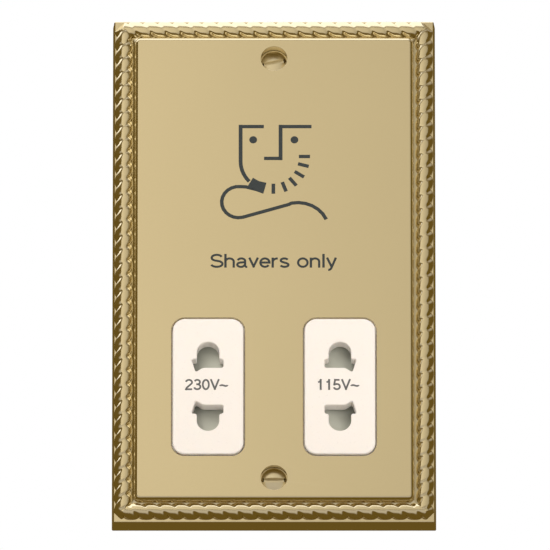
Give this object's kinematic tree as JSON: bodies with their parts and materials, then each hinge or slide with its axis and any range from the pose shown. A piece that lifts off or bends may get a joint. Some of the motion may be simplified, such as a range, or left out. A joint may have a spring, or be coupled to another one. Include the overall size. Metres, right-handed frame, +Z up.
{
  "type": "shaver socket",
  "caption": "Twin shaver socket with a roped brass faceplate, two white shuttered outlets and an isolating transformer in a rear housing.",
  "frame": {"origin": "midway between the two fixing screws, on the wall's surface, which is the plane of the plate's back rim", "axes": "+X to the right seen from the front, +Z up, +Y into the wall; the faceplate faces -Y"},
  "size_m": [0.086, 0.0498, 0.145],
  "materials": {
    "polished_brass": "polished and lacquered",
    "screw_brass": "polished",
    "white_plastic": "smooth urea moulding",
    "shutter_plastic": "satin moulding",
    "carrier_plastic": "satin moulding",
    "contact_bronze": "plain strip",
    "spring_steel": "bright wire",
    "zinc_steel": "zinc plated",
    "core_steel": "varnished laminations",
    "bobbin_nylon": "moulded nylon",
    "winding_copper": "enamelled wire",
    "switch_plastic": "moulded",
    "board_laminate": "bare laminate",
    "housing_plastic": "moulded"
  },
  "bodies": {
    "socket": {"faceplate": "polished_brass", "fixing_screw_top": "screw_brass", "fixing_screw_bottom": "screw_brass", "front_moulding": "white_plastic", "shutter_spring_left": "spring_steel", "shutter_spring_right": "spring_steel", "contact_carrier": "carrier_plastic", "contact_left_upper": "contact_bronze", "contact_left_lower": "contact_bronze", "contact_right_upper": "contact_bronze", "contact_right_lower": "contact_bronze", "micro_switch_left": "switch_plastic", "micro_switch_right": "switch_plastic", "switch_board": "board_laminate", "board_screws": "zinc_steel", "core_e_stack": "core_steel", "core_i_stack": "core_steel", "bobbin": "bobbin_nylon", "primary_winding": "winding_copper", "secondary_winding": "winding_copper", "transformer_clamp": "zinc_steel", "transformer_screws": "zinc_steel", "thermal_cutout": "switch_plastic", "rear_housing": "housing_plastic", "housing_screws": "zinc_steel", "terminal_block": "housing_plastic", "terminal_live": "contact_bronze", "terminal_earth": "contact_bronze", "terminal_neutral": "contact_bronze", "terminal_screws": "zinc_steel", "earth_tag": "contact_bronze"},
    "shutter": {"shutter_bar": "shutter_plastic"},
    "left_plunger": {"plunger_left": "carrier_plastic"},
    "right_plunger": {"plunger_right": "carrier_plastic"}
  },
  "joints": [
    {"name": "shutter_slide", "type": "slide", "parent": "socket", "child": "shutter", "axis": [1, 0, 0], "range_m": [-0.009, 0.009], "stiffness_N_per_m": 120, "deforming": ["shutter_spring_left", "shutter_spring_right"]},
    {"name": "left_plunger_slide", "type": "slide", "parent": "socket", "child": "left_plunger", "axis": [0, 1, 0], "range_m": [0, 0.0034], "stiffness_N_per_m": 250},
    {"name": "right_plunger_slide", "type": "slide", "parent": "socket", "child": "right_plunger", "axis": [0, 1, 0], "range_m": [0, 0.0034], "stiffness_N_per_m": 250}
  ]
}
